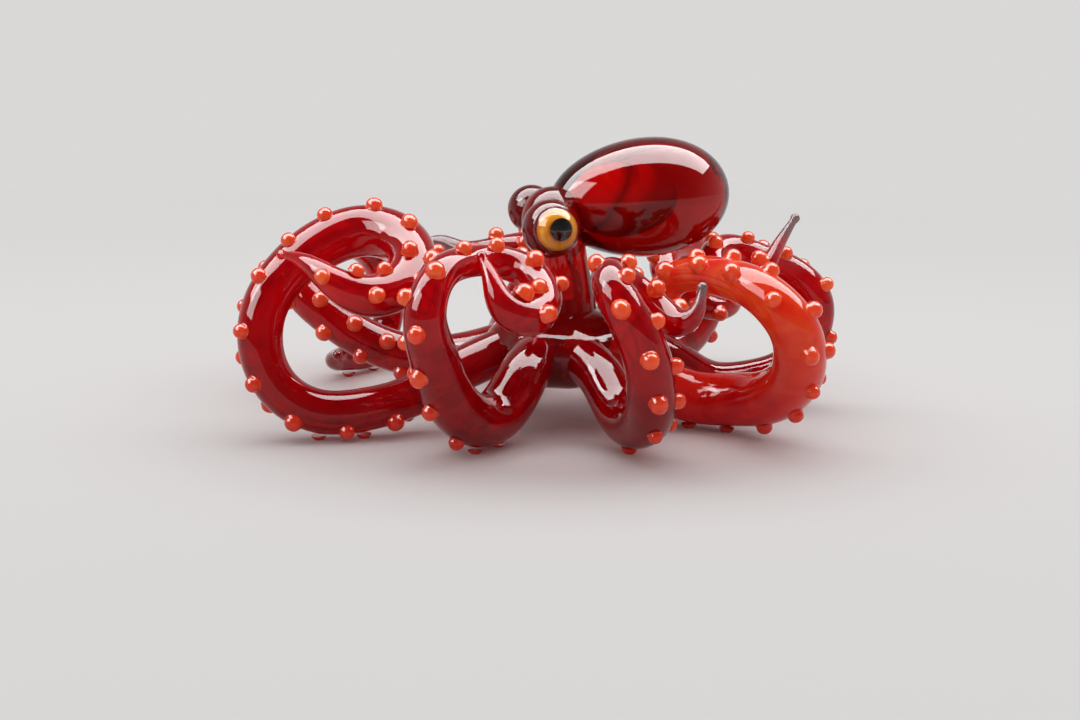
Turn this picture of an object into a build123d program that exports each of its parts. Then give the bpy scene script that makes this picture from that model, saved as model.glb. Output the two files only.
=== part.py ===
from build123d import *
import os

import numpy as np

# Octopus figurine of flameworked glass, in millimetres.
# The table is Z = 0 and the octopus looks along minus X. The pieces are laid out round the middle of the
# arms, and the last step moves them all so that the whole object's box has its middle on the Z axis.
# Lengths named here are the ones to change. A share is a share of the length that its comment names.

# The arms: one tapered rod each, from the hub out along the table and up into a curl.
SPREAD = 40.0
RISE = 21.5
ROD = 3.2
KNOB = 0.65
ARM_COUNT = 8

# The gather in the middle that holds the roots of the arms.
HUB_RADIUS = 10.4
HUB_HALF_HEIGHT = 5.6
HUB_LEVEL = 10.0
ROOT_RING = 6.8
ROOT_ROD = 3.0
FIRST_ROOT_TURN = 195.0

# The dots of opaque glass: two rows on each arm, and the ones that the figurine stands on.
SUCKER = 1.05
SUCKER_PITCH = 5.6
SUCKER_LIFT = 0.25
FOOT_HEIGHT = 0.9
SEAM = 0.14
ROW_TURN = 38.0
BARE_ROOT = 15.0
BARE_TIP = 6.0
OWN_STRETCH = 4.2
SEAT_REACH = 1.7
# A hot rod thins where it is bent hard, so its radius stays under this share of the bend's radius.
BEND_SHARE = 0.88

# The head: an egg-shaped mantle that leans back from the eyes, on a neck.
FACE_AHEAD = 3.2
FACE_LEVEL = 26.9
FACE_TURN = 195.0
FACE_ROLL = -7.0
MANTLE_LENGTH = 24.4
MANTLE_WIDTH = 15.7
MANTLE_TILT = 4.6
MANTLE_BEHIND_FACE = 1.2
MANTLE_OVER_FACE = 1.5
FULLER_BACK_SHARE = 0.1
CORE_LENGTH = 13.0
CORE_WIDTH = 7.0
CORE_BEHIND_FACE = 4.6
NECK_FOOT_RADIUS = 4.4
NECK_RADIUS = 3.1
HEAD_RADIUS = 4.2

# The eyes: a clear mound, an amber iris, a black pupil and a clear dome over both.
# The far eye is smaller, by a share of all its sizes.
EYE_SPACING = 10.2
MOUND = 3.8
IRIS = 2.6
PUPIL = 1.4
DOT_THICKNESS = 0.15
CORNEA = 3.0
CORNEA_CURVE = 3.2
EYE_AHEAD_TURN = 0.0
EYE_UP_TURN = 11.0
FAR_EYE_SHARE = 0.84

# How finely the curls are followed.
SPAN_STEPS = 24
SECTION_PITCH = 2.0
EGG_POINTS = 13

# Places along each arm after its root: X and Y as shares of SPREAD, the height of the rod's underside
# over the feet as a share of RISE, and the rod's radius as a share of ROD.
# The rod stands on a foot wherever the height share is zero.
ARM_ROUTE_SHARES = {
    1: (
        (-0.36, -0.18, 0.16, 0.90),
        (-0.50, -0.26, 0.05, 0.86),
        (-0.63, -0.32, 0.00, 0.87),
        (-0.77, -0.35, 0.00, 0.87),
        (-0.89, -0.36, 0.13, 0.87),
        (-0.95, -0.35, 0.37, 0.89),
        (-0.94, -0.32, 0.60, 0.91),
        (-0.88, -0.24, 0.78, 0.95),
        (-0.78, -0.15, 0.91, 1.02),
        (-0.66, -0.11, 0.98, 1.05),
        (-0.54, -0.16, 0.96, 1.03),
        (-0.48, -0.28, 0.86, 0.97),
        (-0.52, -0.40, 0.76, 0.89),
        (-0.62, -0.48, 0.75, 0.80),
        (-0.71, -0.49, 0.86, 0.60),
        (-0.79, -0.44, 0.98, 0.36),
        (-0.88, -0.36, 1.04, 0.13),
    ),
    2: (
        (-0.13, -0.31, 0.18, 1.02),
        (-0.20, -0.40, 0.00, 1.06),
        (-0.27, -0.49, 0.00, 1.05),
        (-0.35, -0.60, 0.20, 1.00),
        (-0.39, -0.70, 0.48, 0.92),
        (-0.41, -0.75, 0.74, 0.79),
        (-0.38, -0.69, 0.93, 0.68),
        (-0.31, -0.57, 1.00, 0.61),
        (-0.22, -0.49, 0.99, 0.61),
        (-0.13, -0.50, 0.94, 0.67),
        (-0.07, -0.60, 0.82, 0.74),
        (-0.11, -0.71, 0.73, 0.75),
        (-0.18, -0.75, 0.82, 0.59),
        (-0.22, -0.72, 1.00, 0.34),
        (-0.25, -0.68, 1.14, 0.14),
    ),
    3: (
        (0.12, -0.28, 0.20, 0.95),
        (0.17, -0.37, 0.06, 0.97),
        (0.21, -0.46, 0.00, 0.99),
        (0.25, -0.56, 0.06, 0.98),
        (0.26, -0.67, 0.24, 0.95),
        (0.24, -0.75, 0.50, 0.90),
        (0.18, -0.77, 0.75, 0.82),
        (0.13, -0.72, 0.92, 0.73),
        (0.14, -0.63, 0.96, 0.65),
        (0.20, -0.58, 0.88, 0.61),
        (0.28, -0.61, 0.77, 0.60),
        (0.34, -0.67, 0.73, 0.54),
        (0.38, -0.70, 0.82, 0.33),
        (0.40, -0.68, 0.99, 0.14),
    ),
    4: (
        (0.29, -0.11, 0.12, 1.00),
        (0.42, -0.11, 0.00, 1.06),
        (0.54, -0.16, 0.00, 1.09),
        (0.64, -0.26, 0.05, 1.10),
        (0.71, -0.39, 0.20, 1.08),
        (0.72, -0.51, 0.42, 1.02),
        (0.68, -0.57, 0.64, 0.94),
        (0.60, -0.53, 0.80, 0.86),
        (0.50, -0.42, 0.87, 0.77),
        (0.41, -0.31, 0.87, 0.69),
        (0.34, -0.24, 0.80, 0.63),
        (0.32, -0.22, 0.69, 0.57),
        (0.36, -0.25, 0.61, 0.42),
        (0.40, -0.28, 0.67, 0.25),
        (0.41, -0.28, 0.77, 0.13),
    ),
    5: (
        (0.35, 0.11, 0.17, 0.92),
        (0.51, 0.17, 0.00, 0.91),
        (0.65, 0.21, 0.00, 0.88),
        (0.78, 0.22, 0.10, 0.84),
        (0.85, 0.21, 0.31, 0.81),
        (0.86, 0.20, 0.54, 0.78),
        (0.79, 0.20, 0.70, 0.76),
        (0.67, 0.21, 0.80, 0.73),
        (0.56, 0.19, 0.87, 0.70),
        (0.50, 0.10, 0.84, 0.65),
        (0.55, 0.01, 0.76, 0.56),
        (0.63, -0.01, 0.80, 0.45),
        (0.70, 0.05, 0.97, 0.30),
        (0.77, 0.12, 1.18, 0.14),
    ),
    6: (
        (0.18, 0.32, 0.17, 0.95),
        (0.27, 0.48, 0.00, 0.96),
        (0.38, 0.65, 0.00, 0.96),
        (0.49, 0.79, 0.10, 0.93),
        (0.55, 0.86, 0.34, 0.88),
        (0.52, 0.83, 0.59, 0.82),
        (0.45, 0.73, 0.73, 0.76),
        (0.38, 0.60, 0.72, 0.71),
        (0.38, 0.47, 0.60, 0.67),
        (0.47, 0.41, 0.48, 0.61),
        (0.58, 0.46, 0.44, 0.50),
        (0.62, 0.57, 0.52, 0.32),
        (0.58, 0.65, 0.64, 0.14),
    ),
    7: (
        (-0.10, 0.35, 0.18, 0.93),
        (-0.18, 0.52, 0.00, 0.94),
        (-0.21, 0.70, 0.00, 0.94),
        (-0.19, 0.85, 0.10, 0.91),
        (-0.13, 0.91, 0.35, 0.86),
        (-0.08, 0.85, 0.59, 0.81),
        (-0.08, 0.71, 0.72, 0.75),
        (-0.14, 0.58, 0.76, 0.69),
        (-0.25, 0.51, 0.77, 0.58),
        (-0.36, 0.52, 0.79, 0.43),
        (-0.44, 0.55, 0.86, 0.28),
        (-0.50, 0.56, 0.86, 0.15),
    ),
    8: (
        (-0.36, 0.17, 0.14, 0.93),
        (-0.54, 0.21, 0.13, 0.91),
        (-0.70, 0.23, 0.24, 0.88),
        (-0.83, 0.25, 0.40, 0.86),
        (-0.91, 0.30, 0.56, 0.83),
        (-0.88, 0.39, 0.74, 0.80),
        (-0.79, 0.50, 0.80, 0.77),
        (-0.70, 0.62, 0.70, 0.75),
        (-0.65, 0.71, 0.48, 0.72),
        (-0.64, 0.76, 0.21, 0.69),
        (-0.69, 0.69, 0.00, 0.65),
        (-0.77, 0.58, 0.00, 0.57),
        (-0.81, 0.47, 0.05, 0.42),
        (-0.79, 0.38, 0.16, 0.15),
    ),
}

# The middle of each arm's curl, which its suckers look away from: shares of SPREAD, SPREAD and RISE.
CURL_MIDDLE_SHARES = {
    1: (-0.69, -0.31, 0.52),
    2: (-0.22, -0.60, 0.52),
    3: (0.17, -0.64, 0.55),
    4: (0.50, -0.28, 0.45),
    5: (0.69, 0.16, 0.48),
    6: (0.40, 0.64, 0.40),
    7: (-0.18, 0.70, 0.42),
    8: (-0.72, 0.45, 0.45),
}


def spline(rows):
    """The natural cubic spline through rows, with the straight distance between rows as its parameter."""
    rows = np.array(rows, float)
    step = np.linalg.norm(np.diff(rows[:, :3], axis=0), axis=1)
    count = len(rows)
    matrix = np.eye(count)
    right = np.zeros_like(rows)
    slope = np.diff(rows, axis=0) / step[:, None]
    for i in range(1, count - 1):
        matrix[i, i - 1 : i + 2] = step[i - 1], 2 * (step[i - 1] + step[i]), step[i]
        right[i] = 6 * (slope[i] - slope[i - 1])
    bend = np.linalg.solve(matrix, right)
    places = []
    for i in range(count - 1):
        share = np.arange(SPAN_STEPS)[:, None] / SPAN_STEPS
        line = (1 - share) * rows[i] + share * rows[i + 1]
        ends = ((1 - share) ** 3 - (1 - share)) * bend[i] + (share**3 - share) * bend[i + 1]
        places.append(line + ends * step[i] ** 2 / 6)
    return np.vstack(places + [rows[-1:]])


def even_places(curve, pitch):
    """Places about a pitch apart along a curve, each with its position, radius and direction."""
    run = np.linalg.norm(np.diff(curve[:, :3], axis=0), axis=1)
    along = np.concatenate(([0.0], np.cumsum(run)))
    count = round(along[-1] / pitch) + 1
    wanted = np.linspace(0.0, along[-1], count)
    spots = np.array([np.interp(wanted, along, column) for column in curve.T]).T
    heading = np.gradient(curve[:, :3], axis=0)
    heading = np.array([np.interp(wanted, along, column) for column in heading.T]).T
    heading /= np.linalg.norm(heading, axis=1)[:, None]
    return wanted, spots, heading


def thinned(curve):
    """The same curve in even steps, with its radius kept under a share of the radius of its bend."""
    along, spots, heading = even_places(curve, SUCKER)
    turn = np.linalg.norm(np.gradient(heading, axis=0), axis=1) / np.gradient(along)
    tight = turn * spots[:, 3] > BEND_SHARE
    spots[tight, 3] = BEND_SHARE / turn[tight]
    return spots


def make_rod(curve, end_radius):
    """A round rod of changing radius along a curve, closed by a ball whose poles lie along the rod."""
    _, spots, heading = even_places(curve, SECTION_PITCH)
    side = np.cross(heading[0], (0.0, 0.0, 1.0))
    sections = []
    for spot, ahead in zip(spots, heading):
        side = side - ahead * (side @ ahead)
        side /= np.linalg.norm(side)
        plane = Plane(origin=tuple(spot[:3]), x_dir=tuple(side), z_dir=tuple(ahead))
        sections.append(plane * Circle(spot[3]))
    return loft(sections) + plane * Rot(0, 0, 90) * Sphere(end_radius)


def arm_rows(number):
    """The middle line and radius of one arm, from its root in the hub to its tip."""
    turn = np.radians(FIRST_ROOT_TURN + (number - 1) * 360 / ARM_COUNT)
    root = (ROOT_RING * np.cos(turn), ROOT_RING * np.sin(turn), HUB_LEVEL, ROOT_ROD)
    rows = [root]
    for x_share, y_share, height_share, rod_share in ARM_ROUTE_SHARES[number]:
        radius = rod_share * ROD
        height = FOOT_HEIGHT + radius + height_share * RISE
        rows.append((x_share * SPREAD, y_share * SPREAD, height, radius))
    return rows


def cap_ball(low, high=SUCKER):
    """A dot of glass: the part of a ball between two heights over its middle."""
    low_turn = np.degrees(np.arcsin(low / SUCKER))
    high_turn = np.degrees(np.arcsin(high / SUCKER))
    return Sphere(SUCKER, arc_size1=low_turn, arc_size2=high_turn, align=None)


def egg_balls(place, length, width):
    """Balls along the middle of an egg, each as large as fits in it: rows of position and radius."""
    half, side = length / 2, width / 2
    reach = (half**2 - side**2) / half
    steps = np.linspace(-reach, reach, EGG_POINTS)
    middles = [(place * Pos(step, 0, 0)).position for step in steps]
    radii = side * np.sqrt(1 - steps**2 / (half**2 - side**2))
    return np.column_stack(([tuple(middle) for middle in middles], radii))


def room_at(centre, own, along):
    """The least room between a dot's middle and the head and every rod, apart from the dot's own stretch."""
    least = (np.linalg.norm(HEAD_BALLS[:, :3] - centre, axis=1) - HEAD_BALLS[:, 3]).min()
    for number, (places, spots, _) in PLACES.items():
        room = np.linalg.norm(spots[:, :3] - centre, axis=1) - spots[:, 3]
        if number == own:
            room = room[abs(places - along) > OWN_STRETCH]
        least = min(least, room.min())
    return least


def seat_height(number, spot, along, ahead, outward):
    """How far the rod reaches outward from a place on its middle line, under the width of one dot."""
    places, spots, _ = PLACES[number]
    near = spots[abs(places - along) < OWN_STRETCH]
    gap = near[:, :3] - spot[:3]
    reach = gap @ outward + near[:, 3]
    return reach[abs(gap @ ahead) < SEAT_REACH].max()


def foot_centres(number):
    """The middles of the feet of one arm, level with the rod's underside where it is lowest."""
    routes = zip(arm_rows(number)[1:], ARM_ROUTE_SHARES[number])
    return [np.array((row[0], row[1], FOOT_HEIGHT)) for row, shares in routes if shares[2] == 0]


def make_feet(number):
    """The dots that one arm stands on, squashed between the rod and the table."""
    spots = PLACES[number][1]
    feet = []
    for centre in foot_centres(number):
        over = spots[np.linalg.norm(spots[:, :2] - centre[:2], axis=1) < 2 * SUCKER]
        top = (over[:, 2] - over[:, 3]).min() - SEAM - FOOT_HEIGHT
        feet.append(Pos(*centre) * cap_ball(-FOOT_HEIGHT, top))
    return feet


def make_suckers(number):
    """Two staggered rows of dots on the outside of one arm's curl, wherever there is room for them."""
    middle = CURL_MIDDLE_SHARES[number] * np.array((SPREAD, SPREAD, RISE))
    along, spots, heading = even_places(CURVES[number], SUCKER_PITCH / 2)
    feet = foot_centres(number)
    dot = cap_ball(-SUCKER_LIFT)
    dots = []
    for i, (place, spot, ahead) in enumerate(zip(along, spots, heading)):
        if place < BARE_ROOT or place > along[-1] - BARE_TIP:
            continue
        outward = spot[:3] - middle
        outward = outward - ahead * (outward @ ahead)
        outward /= np.linalg.norm(outward)
        turn = np.radians(ROW_TURN if i % 2 else -ROW_TURN)
        outward = outward * np.cos(turn) + np.cross(ahead, outward) * np.sin(turn)
        seat = seat_height(number, spot, place, ahead, outward)
        centre = spot[:3] + outward * (seat + SEAM + SUCKER_LIFT)
        blocked = any(np.linalg.norm(centre - foot) < 2 * SUCKER + SEAM for foot in feet)
        if blocked or centre[2] < SUCKER or room_at(centre, number, place) < SUCKER + SEAM:
            continue
        dots.append(Plane(origin=tuple(centre), x_dir=tuple(ahead), z_dir=tuple(outward)) * dot)
    return dots


def make_egg(length, width, fuller_share=0.0):
    """An egg of round section along X, which is wider than an ellipsoid towards minus X by a share."""
    turns = np.linspace(0, np.pi, EGG_POINTS)
    wide = width / 2 * np.sin(turns) * (1 - fuller_share * np.cos(turns))
    points = [(x, y) for x, y in zip(length / 2 * np.cos(turns), wide)]
    outline = Spline(*points, tangents=((0, 1), (0, -1)))
    return revolve(make_face(outline + Line(points[-1], points[0])), Axis.X)


NUMBERS = range(1, ARM_COUNT + 1)
CURVES = {n: thinned(spline(arm_rows(n))) for n in NUMBERS}
PLACES = {n: even_places(CURVES[n], SUCKER / 2) for n in NUMBERS}

# The face is the point between the eyes, and its own X axis looks ahead.
heading_turn = np.radians(FACE_TURN)
FACE = Location(
    (FACE_AHEAD * np.cos(heading_turn), FACE_AHEAD * np.sin(heading_turn), FACE_LEVEL),
    (0, 0, FACE_TURN),
) * Location((0, 0, 0), (FACE_ROLL, 0, 0))
LEAN = FACE * Location((0, 0, 0), (0, MANTLE_TILT, 0)) * Pos(0, 0, MANTLE_OVER_FACE)
MANTLE = LEAN * Pos(-MANTLE_BEHIND_FACE - MANTLE_LENGTH / 2, 0, 0)
HEAD_BALLS = egg_balls(MANTLE, MANTLE_LENGTH, MANTLE_WIDTH)

hub = Pos(0, 0, HUB_LEVEL) * scale(Sphere(1), by=(HUB_RADIUS, HUB_RADIUS, HUB_HALF_HEIGHT))
mantle_whole = MANTLE * make_egg(MANTLE_LENGTH, MANTLE_WIDTH, FULLER_BACK_SHARE)
core = LEAN * Pos(-CORE_BEHIND_FACE - CORE_LENGTH / 2, 0, 0) * make_egg(CORE_LENGTH, CORE_WIDTH)

face_at = FACE.position
neck_rows = (
    (0, 0, HUB_LEVEL, NECK_FOOT_RADIUS),
    (0, 0, HUB_LEVEL + HUB_HALF_HEIGHT, NECK_FOOT_RADIUS),
    (0, 0, (HUB_LEVEL + HUB_HALF_HEIGHT + FACE_LEVEL) / 2, NECK_RADIUS),
    (face_at.X / 2, face_at.Y / 2, FACE_LEVEL, HEAD_RADIUS),
)
neck = make_rod(spline(neck_rows), HEAD_RADIUS) - hub - mantle_whole

nodes = {"hub": hub, "neck": neck, "mantle": mantle_whole - core, "mantle_core": core}

mound_ball = Sphere(MOUND)
iris_ball = Sphere(MOUND + DOT_THICKNESS)
pupil_ball = Sphere(MOUND + 2 * DOT_THICKNESS)
cornea_offset = (MOUND**2 - CORNEA**2) ** 0.5 - (CORNEA_CURVE**2 - CORNEA**2) ** 0.5
iris = (iris_ball & Pos(0, 0, MOUND) * Cylinder(IRIS, 2 * MOUND)) - mound_ball
pupil = (pupil_ball & Pos(0, 0, MOUND) * Cylinder(PUPIL, 2 * MOUND)) - iris_ball
cornea = Pos(0, 0, cornea_offset) * Sphere(CORNEA_CURVE) - mound_ball - iris - pupil
for name, hand, share in (("near", 1, 1), ("far", -1, FAR_EYE_SHARE)):
    outward = Rot(0, 0, hand * (90 - EYE_AHEAD_TURN)) * Rot(0, 90 - EYE_UP_TURN, 0)
    eye = FACE * Pos(0, hand * EYE_SPACING / 2, 0) * outward
    nodes[f"{name}_eye_mound"] = eye * scale(mound_ball, by=share) - mantle_whole - neck
    nodes[f"{name}_iris"] = eye * scale(iris, by=share)
    nodes[f"{name}_pupil"] = eye * scale(pupil, by=share)
    nodes[f"{name}_cornea"] = eye * scale(cornea, by=share)

for n in NUMBERS:
    nodes[f"arm_{n}"] = make_rod(CURVES[n], KNOB) - hub
    nodes[f"arm_{n}_suckers"] = Compound(children=make_suckers(n))
    nodes[f"arm_{n}_feet"] = Compound(children=make_feet(n))

boxes = [shape.bounding_box() for shape in nodes.values()]
middle_x = (min(box.min.X for box in boxes) + max(box.max.X for box in boxes)) / 2
middle_y = (min(box.min.Y for box in boxes) + max(box.max.Y for box in boxes)) / 2
print("middle of the box before the move:", round(middle_x, 3), round(middle_y, 3))
os.makedirs("parts", exist_ok=True)
for name, shape in nodes.items():
    export_step(Pos(-middle_x, -middle_y, 0) * shape, f"parts/{name}.step")
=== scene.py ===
# %% [markdown]
# # A glass octopus, dressed
# The figurine is flameworked: every part of it was melted from a rod of glass over a torch.
# The solids come from the imported model. This script gives them smooth skins of glass, and builds
# the floor, the lamps and the camera round them. All lengths are in metres, and the table is Z = 0.
# We load the model first.

import bpy
import numpy as np
from mathutils import Matrix, Vector


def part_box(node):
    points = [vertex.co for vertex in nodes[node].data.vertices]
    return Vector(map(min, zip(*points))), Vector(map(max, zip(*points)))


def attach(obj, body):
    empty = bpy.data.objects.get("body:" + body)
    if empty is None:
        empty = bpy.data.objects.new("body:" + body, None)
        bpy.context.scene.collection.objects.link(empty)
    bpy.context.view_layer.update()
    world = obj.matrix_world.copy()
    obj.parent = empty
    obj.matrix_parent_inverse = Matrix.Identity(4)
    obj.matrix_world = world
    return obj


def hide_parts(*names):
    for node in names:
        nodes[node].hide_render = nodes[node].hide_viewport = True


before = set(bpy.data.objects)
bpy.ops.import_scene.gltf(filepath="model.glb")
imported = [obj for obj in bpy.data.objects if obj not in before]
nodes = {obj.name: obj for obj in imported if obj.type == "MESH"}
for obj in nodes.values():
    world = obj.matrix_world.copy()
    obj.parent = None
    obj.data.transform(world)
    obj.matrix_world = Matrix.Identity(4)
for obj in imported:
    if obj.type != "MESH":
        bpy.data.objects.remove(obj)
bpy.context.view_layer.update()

# %% [markdown]
# ## The camera
# The picture was taken from the front, 12 degrees above the table, with a long lens and the camera
# rolled by 1 degree. We write the three directions of the camera as columns of its matrix, which is
# clearer than three angles: to the right, up, and backwards.

# %% Place the camera
ELEVATION = np.radians(12.0)
ROLL = np.radians(1.0)
AIM = np.array((-0.00107, -0.00278, 0.0078))
DISTANCE = 0.253
LENS_MM = 63.33
SENSOR_MM = 36.0
CLIP_START = 0.01

ahead = np.array((0.0, np.cos(ELEVATION), -np.sin(ELEVATION)))
level_right = np.array((1.0, 0.0, 0.0))
level_up = np.array((0.0, np.sin(ELEVATION), np.cos(ELEVATION)))
right = np.cos(ROLL) * level_right + np.sin(ROLL) * level_up
up = np.cos(ROLL) * level_up - np.sin(ROLL) * level_right
place = AIM - DISTANCE * ahead

camera_data = bpy.data.cameras.new("camera")
camera_data.sensor_width = SENSOR_MM
camera_data.lens = LENS_MM
camera_data.clip_start = CLIP_START
camera = bpy.data.objects.new("camera", camera_data)
pose = np.eye(4)
pose[:3, 0], pose[:3, 1], pose[:3, 2], pose[:3, 3] = right, up, -ahead, place
camera.matrix_world = Matrix(pose.tolist())
bpy.context.scene.collection.objects.link(camera)
bpy.context.scene.camera = camera
print("camera at", np.round(place, 4))

# %% [markdown]
# ## Helpers for meshes
# A piece is a grid of points that closes round on itself. We fill the mesh from whole arrays, which is
# far quicker than adding points one by one. A grid that ends in a pole gets a fan of triangles there.

# %% Turn a grid of points into a piece
def grid_faces(rows, columns):
    """Quads between rows of points, each row closed into a ring. Corners run so that the quads face
    outwards when the rings turn counterclockwise seen from the end that the rows go to."""
    row = np.arange(rows - 1)[:, None] * columns
    column = np.arange(columns)[None, :]
    after = (column + 1) % columns
    quads = np.stack((row + column, row + after, row + columns + after, row + columns + column), -1)
    return quads.reshape(-1, 4)


def capped_ring_mesh(rings):
    """Points and faces of rings (rows, columns, 3) closed by one pole at each end, where a pole is the
    mean of its ring."""
    rows, columns = rings.shape[:2]
    points = np.vstack((rings.reshape(-1, 3), rings[0].mean(0), rings[-1].mean(0)))
    column = np.arange(columns)
    after = (column + 1) % columns
    low = np.full(columns, rows * columns)
    high = low + 1
    last = (rows - 1) * columns
    fans = np.vstack((np.stack((low, after, column), -1), np.stack((last + column, last + after, high), -1)))
    return points, grid_faces(rows, columns), fans


def many(points, quads, fans, turns, places):
    """Copies of one small mesh, whose own points are (copies, points, 3): each copy is turned by its
    3 x 3 matrix and moved to its place, all the copies at once."""
    step = np.arange(len(turns))[:, None, None] * points.shape[1]
    moved = np.einsum("nij,npj->npi", turns, points) + places[:, None, :]
    return moved.reshape(-1, 3), (quads[None] + step).reshape(-1, 4), (fans[None] + step).reshape(-1, 3)


def make_piece(name, points, quads, fans, material, replaced, slot):
    """One mesh object at the origin, smooth, that rides on the root and stands for CAD nodes."""
    mesh = bpy.data.meshes.new(name)
    mesh.from_pydata(points.tolist(), [], quads.tolist() + fans.tolist())
    mesh.polygons.foreach_set("use_smooth", np.ones(len(mesh.polygons), bool))
    mesh.materials.append(material)
    mesh.update()
    piece = bpy.data.objects.new(name, mesh)
    bpy.context.scene.collection.objects.link(piece)
    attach(piece, "root")
    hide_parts(*replaced)
    return piece


print("mesh helpers are ready")

# %% [markdown]
# ## Helpers for materials
# A material is a small graph: places and patterns go in, colours and heights come out. Each helper adds
# one node and returns its result, so that a finish below reads like a sum. All patterns sit on Object
# coordinates, so they stay on the glass whatever side it is seen from.

# %% Start a material and feed its nodes
def new_material(name):
    """An empty material with its tree, its Principled BSDF and its output."""
    material = bpy.data.materials.new(name)
    material.use_nodes = True
    tree = material.node_tree
    return material, tree, tree.nodes["Principled BSDF"], tree.nodes["Material Output"]


def feed(tree, node, sources):
    """Gives each socket in sources a value of its own, or else the result of another node."""
    for socket, source in sources.items():
        if isinstance(source, bpy.types.NodeSocket):
            tree.links.new(source, node.inputs[socket])
        else:
            node.inputs[socket].default_value = source


def coordinates(tree, kind="Object"):
    """Where a shaded point lies."""
    return tree.nodes.new("ShaderNodeTexCoord").outputs[kind]


def split(tree, vector):
    """The X, Y and Z of a vector."""
    node = tree.nodes.new("ShaderNodeSeparateXYZ")
    feed(tree, node, {"Vector": vector})
    return node.outputs["X"], node.outputs["Y"], node.outputs["Z"]


def length(tree, vector):
    """The length of a vector."""
    node = tree.nodes.new("ShaderNodeVectorMath")
    node.operation = "LENGTH"
    feed(tree, node, {0: vector})
    return node.outputs["Value"]


def placed(tree, matrix, scale=(1.0, 1.0, 1.0)):
    """Where a shaded point lies in the axes of a 4 x 4 matrix, in units of scale."""
    node = tree.nodes.new("ShaderNodeMapping")
    node.vector_type = "TEXTURE"
    feed(tree, node, {
        "Vector": coordinates(tree),
        "Location": matrix.to_translation(),
        "Rotation": matrix.to_euler("XYZ"),
        "Scale": scale,
    })
    return node.outputs["Vector"]


# %% Work with numbers and colours
def maths(tree, operation, *sources):
    """The result of an operation on numbers or on other nodes' results."""
    node = tree.nodes.new("ShaderNodeMath")
    node.operation = operation
    feed(tree, node, dict(enumerate(sources)))
    return node.outputs["Value"]


def run_between(tree, source, start, end, low=0.0, high=1.0):
    """A number that runs from low to high while the source runs from start to end."""
    node = tree.nodes.new("ShaderNodeMapRange")
    feed(tree, node, {"Value": source, "From Min": start, "From Max": end, "To Min": low, "To Max": high})
    return node.outputs["Result"]


def noise(tree, scale, detail=2.0, distortion=0.0, at=None):
    """A cloudy pattern. Its scale counts about how many clouds fit in a metre."""
    node = tree.nodes.new("ShaderNodeTexNoise")
    vector = coordinates(tree) if at is None else at
    feed(tree, node, {"Vector": vector, "Scale": scale, "Detail": detail, "Distortion": distortion})
    return node.outputs["Fac"]


def ramp(tree, source, stops):
    """A colour that runs through stops, each given as (place, colour)."""
    node = tree.nodes.new("ShaderNodeValToRGB")
    elements = node.color_ramp.elements
    elements[0].position, elements[0].color = stops[0][0], (*stops[0][1], 1.0)
    elements[1].position, elements[1].color = stops[-1][0], (*stops[-1][1], 1.0)
    for position, colour in stops[1:-1]:
        elements.new(position).color = (*colour, 1.0)
    feed(tree, node, {"Fac": source})
    return node.outputs["Color"]


def blend(tree, share, first, second, kind="MIX"):
    """Two colours mixed by a share, or multiplied."""
    node = tree.nodes.new("ShaderNodeMixRGB")
    node.blend_type = kind
    feed(tree, node, {"Fac": share, "Color1": first, "Color2": second})
    return node.outputs["Color"]


def add_bump(tree, shader, height, distance):
    """Small waves of the surface from a height pattern, which are distance high in metres."""
    node = tree.nodes.new("ShaderNodeBump")
    feed(tree, node, {"Height": height, "Distance": distance, "Strength": 1.0})
    feed(tree, shader, {"Normal": node.outputs["Normal"]})


print("material helpers are ready")

# %% [markdown]
# ## The floor
# The figurine was photographed on a black mirror, which hides its outline and its shadow. A plain pale
# table shows both. Near the object it is matt and takes the light of the lamps. Far from it the lamps
# fade, so there it glows in one plain pale colour by itself, and its far edge hardly shows.

# %% Make the floor
TABLE_COLOUR = (0.66, 0.65, 0.645, 1.0)
FAR_COLOUR = (0.70, 0.69, 0.685, 1.0)
FADE_START = 0.06
FADE_END = 0.28
FLOOR_REACH = 6.0

floor_material, floor_tree, floor_shader, floor_output = new_material("pale_table")
feed(floor_tree, floor_shader, {"Base Color": TABLE_COLOUR, "Roughness": 0.8, "Specular IOR Level": 0.0})
far_glow = floor_tree.nodes.new("ShaderNodeEmission")
feed(floor_tree, far_glow, {"Color": FAR_COLOUR})
fade = run_between(floor_tree, length(floor_tree, coordinates(floor_tree)), FADE_START, FADE_END)
near_to_far = floor_tree.nodes.new("ShaderNodeMixShader")
feed(floor_tree, near_to_far, {0: fade, 1: floor_shader.outputs[0], 2: far_glow.outputs[0]})
feed(floor_tree, floor_output, {"Surface": near_to_far.outputs[0]})

floor_mesh = bpy.data.meshes.new("floor")
corners = [(FLOOR_REACH * x, FLOOR_REACH * y, 0) for x, y in ((-1, -1), (1, -1), (1, 1), (-1, 1))]
floor_mesh.from_pydata(corners, [], [(0, 1, 2, 3)])
floor_mesh.materials.append(floor_material)
floor = bpy.data.objects.new("floor", floor_mesh)
bpy.context.scene.collection.objects.link(floor)
print("floor reaches", FLOOR_REACH, "m each way")

# %% [markdown]
# ## The room
# Glass shows what it mirrors and what lies behind it. The room is pale behind the object and dim in
# front and above, so that the bright bands of the lamps stand out on the glass. The camera, and light
# that has bounced off something matt, find one plain pale colour in place of the room.

# %% Light the room
FRONT_EDGE, BACK_EDGE = -0.5, 0.7
FRONT_GLOW, BACK_GLOW = 0.12, 0.80
# How bright the room is from the level of the table, 0, to straight up, 1.
GLOW_BY_LEVEL = ((0.0, 1.0), (0.15, 0.95), (0.6, 0.4), (1.0, 0.25))
PLAIN_COLOUR = (0.68, 0.68, 0.68, 1.0)

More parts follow.
